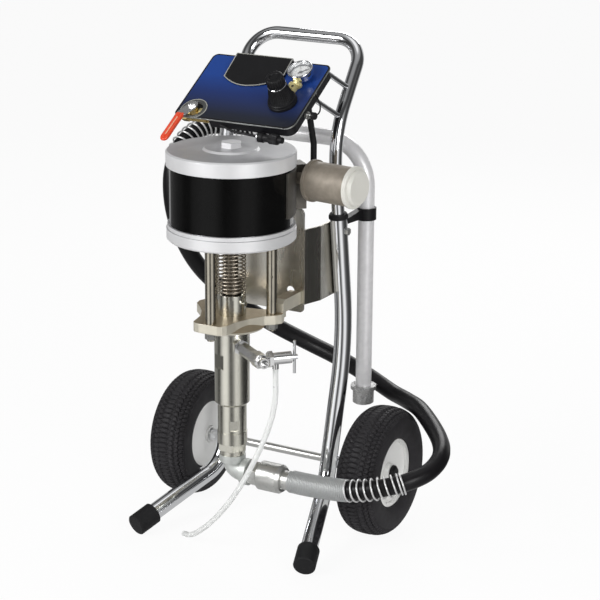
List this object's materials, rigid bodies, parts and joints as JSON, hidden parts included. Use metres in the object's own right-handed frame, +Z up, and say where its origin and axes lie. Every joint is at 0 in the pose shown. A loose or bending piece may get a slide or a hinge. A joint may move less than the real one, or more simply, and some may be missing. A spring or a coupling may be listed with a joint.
{
  "type": "airless paint sprayer",
  "caption": "Upright air-driven paint sprayer on a tubular wheeled cart, with a vertical piston pump, suction hose and a sloped panel.",
  "frame": {"origin": "on the floor, under the middle of the sprayer without its hoses", "axes": "+X to the operator's right, +Y to the back (handle side), +Z up"},
  "size_m": [0.6649, 0.4935, 0.9835],
  "materials": {
    "chrome_tube": "polished",
    "black_rubber": "matte",
    "zinc_steel": "satin",
    "bearing_steel": "satin",
    "tyre_rubber": "matte",
    "white_rim": "gloss",
    "stainless": "brushed",
    "black_plastic": "satin",
    "blue_paint": "gloss",
    "gauge_metal": "polished",
    "needle_paint": "matte",
    "clear_glass": "clear",
    "brass": "satin",
    "valve_steel": "satin",
    "red_grip": "satin",
    "hose_rubber": "satin",
    "cast_aluminium": "satin",
    "black_shell": "gloss",
    "plain_aluminium": "satin",
    "muffler_paint": "satin",
    "pale_plastic": "satin",
    "plated_iron": "satin",
    "nickel_plate": "satin",
    "clear_tube": "translucent",
    "bare_aluminium": "satin"
  },
  "bodies": {
    "cart_frame": {"left_side_tube": "chrome_tube", "right_side_tube": "chrome_tube", "foot_caps": "black_rubber", "axle": "zinc_steel", "axle_caps": "black_plastic", "handle": "chrome_tube", "handle_grommets": "black_rubber", "frame_bolts": "zinc_steel", "pump_bracket": "stainless", "panel_struts": "chrome_tube", "control_panel": "blue_paint", "panel_tray": "black_plastic", "panel_hood": "black_plastic", "gauge_case": "gauge_metal", "gauge_lens": "clear_glass", "gauge_fitting": "brass", "regulator_body": "black_plastic", "ball_valve_body": "brass", "air_hose": "hose_rubber", "motor_top_cap": "cast_aluminium", "motor_cylinder": "black_shell", "motor_bottom_cap": "cast_aluminium", "air_valve_housing": "plain_aluminium", "muffler": "muffler_paint", "muffler_end_cap": "pale_plastic", "tie_rods": "stainless", "adapter_plate": "plated_iron", "wet_cup": "nickel_plate", "spring_guard": "stainless", "lock_ring": "nickel_plate", "pump_housing": "nickel_plate", "pump_cylinder": "nickel_plate", "intake_housing": "nickel_plate", "outlet_bar": "valve_steel", "drain_valve": "valve_steel", "inlet_elbow": "zinc_steel", "hose_coupler": "zinc_steel", "hose_springs": "stainless", "suction_hose": "hose_rubber", "drain_tube": "clear_tube", "suction_tube": "bare_aluminium", "strainer": "stainless", "tube_hanger": "black_plastic"},
    "right_wheel": {"right_tyre": "tyre_rubber", "right_rim": "white_rim", "right_bearings": "bearing_steel"},
    "left_wheel": {"left_tyre": "tyre_rubber", "left_rim": "white_rim", "left_bearings": "bearing_steel"},
    "air_valve_handle": {"ball_valve_stem": "valve_steel", "ball_valve_lever": "red_grip"},
    "pressure_knob": {"regulator_knob": "black_plastic"},
    "pressure_needle": {"gauge_needle": "needle_paint"},
    "drain_tap": {"drain_handle": "valve_steel"},
    "pump_rod": {"motor_piston": "plain_aluminium", "motor_rod": "stainless", "rod_coupler": "zinc_steel", "displacement_rod": "stainless"},
    "check_ball": {"intake_ball": "bearing_steel"},
    "valve_spool": {"air_valve_spool": "bearing_steel"}
  },
  "joints": [
    {"name": "right_wheel_spin", "type": "hinge", "parent": "cart_frame", "child": "right_wheel", "pos_m": [0.217, 0.10125, 0.13], "axis": [1, 0, 0], "continuous": true},
    {"name": "left_wheel_spin", "type": "hinge", "parent": "cart_frame", "child": "left_wheel", "pos_m": [-0.217, 0.10125, 0.13], "axis": [1, 0, 0], "continuous": true},
    {"name": "air_valve_turn", "type": "hinge", "parent": "cart_frame", "child": "air_valve_handle", "pos_m": [-0.094, -0.08809, 0.85966], "axis": [0, -0.5299, 0.848], "range_deg": [0, 90]},
    {"name": "pressure_knob_turn", "type": "hinge", "parent": "cart_frame", "child": "pressure_knob", "pos_m": [0.078, -0.05078, 0.88297], "axis": [0, -0.5299, 0.848], "range_deg": [0, 720]},
    {"name": "pressure_needle_turn", "type": "hinge", "parent": "cart_frame", "child": "pressure_needle", "pos_m": [0.086, 0.00943, 0.9206], "axis": [0, -0.5299, 0.848], "range_deg": [-270, 0], "stiffness_Nm_per_rad": 0.004},
    {"name": "drain_tap_turn", "type": "hinge", "parent": "cart_frame", "child": "drain_tap", "pos_m": [0.10321, -0.18102, 0.424], "axis": [0.6691, 0.7431, 0], "range_deg": [0, 360]},
    {"name": "pump_stroke", "type": "slide", "parent": "cart_frame", "child": "pump_rod", "axis": [0, 0, 1], "range_m": [0, 0.076]},
    {"name": "check_ball_lift", "type": "slide", "parent": "cart_frame", "child": "check_ball", "axis": [0, 0, 1], "range_m": [0, 0.008]},
    {"name": "valve_spool_shift", "type": "slide", "parent": "cart_frame", "child": "valve_spool", "axis": [0, 0, 1], "range_m": [0, 0.012]}
  ]
}
